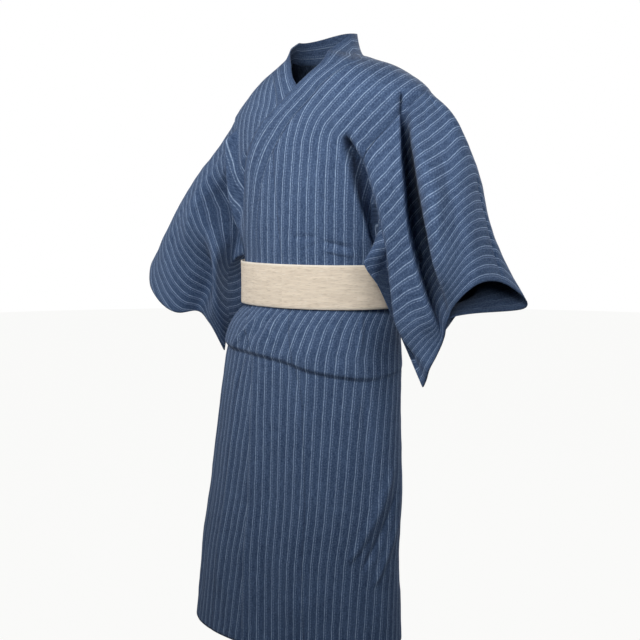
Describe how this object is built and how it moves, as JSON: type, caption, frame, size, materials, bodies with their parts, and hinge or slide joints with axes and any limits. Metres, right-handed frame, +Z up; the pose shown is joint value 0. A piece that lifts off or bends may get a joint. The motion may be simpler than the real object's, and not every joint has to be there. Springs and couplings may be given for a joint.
{
  "type": "cotton yukata robe",
  "caption": "Long narrow-striped indigo cotton yukata robe with wide open sleeves, worn closed left over right under a flat cream obi.",
  "frame": {"origin": "on the shoulder line, under the middle of the neck opening, where the wearer's shoulders hold the robe", "axes": "+Z up, +X towards the wearer's left, -Y towards the wearer's front"},
  "size_m": [0.958, 0.3572, 1.3626],
  "materials": {
    "indigo_cotton": "matt woven cotton with narrow light stripes",
    "collar_cotton": "the same cotton, folded",
    "obi_cream": "matt slub weave"
  },
  "bodies": {
    "root": {"body_left": "indigo_cotton", "body_right": "indigo_cotton", "okumi_left": "indigo_cotton", "okumi_right": "indigo_cotton", "collar": "collar_cotton", "sleeve_left": "indigo_cotton", "sleeve_right": "indigo_cotton", "obi_wrap": "obi_cream", "obi_knot": "obi_cream", "obi_end_up": "obi_cream", "obi_end_down": "obi_cream"}
  },
  "joints": []
}
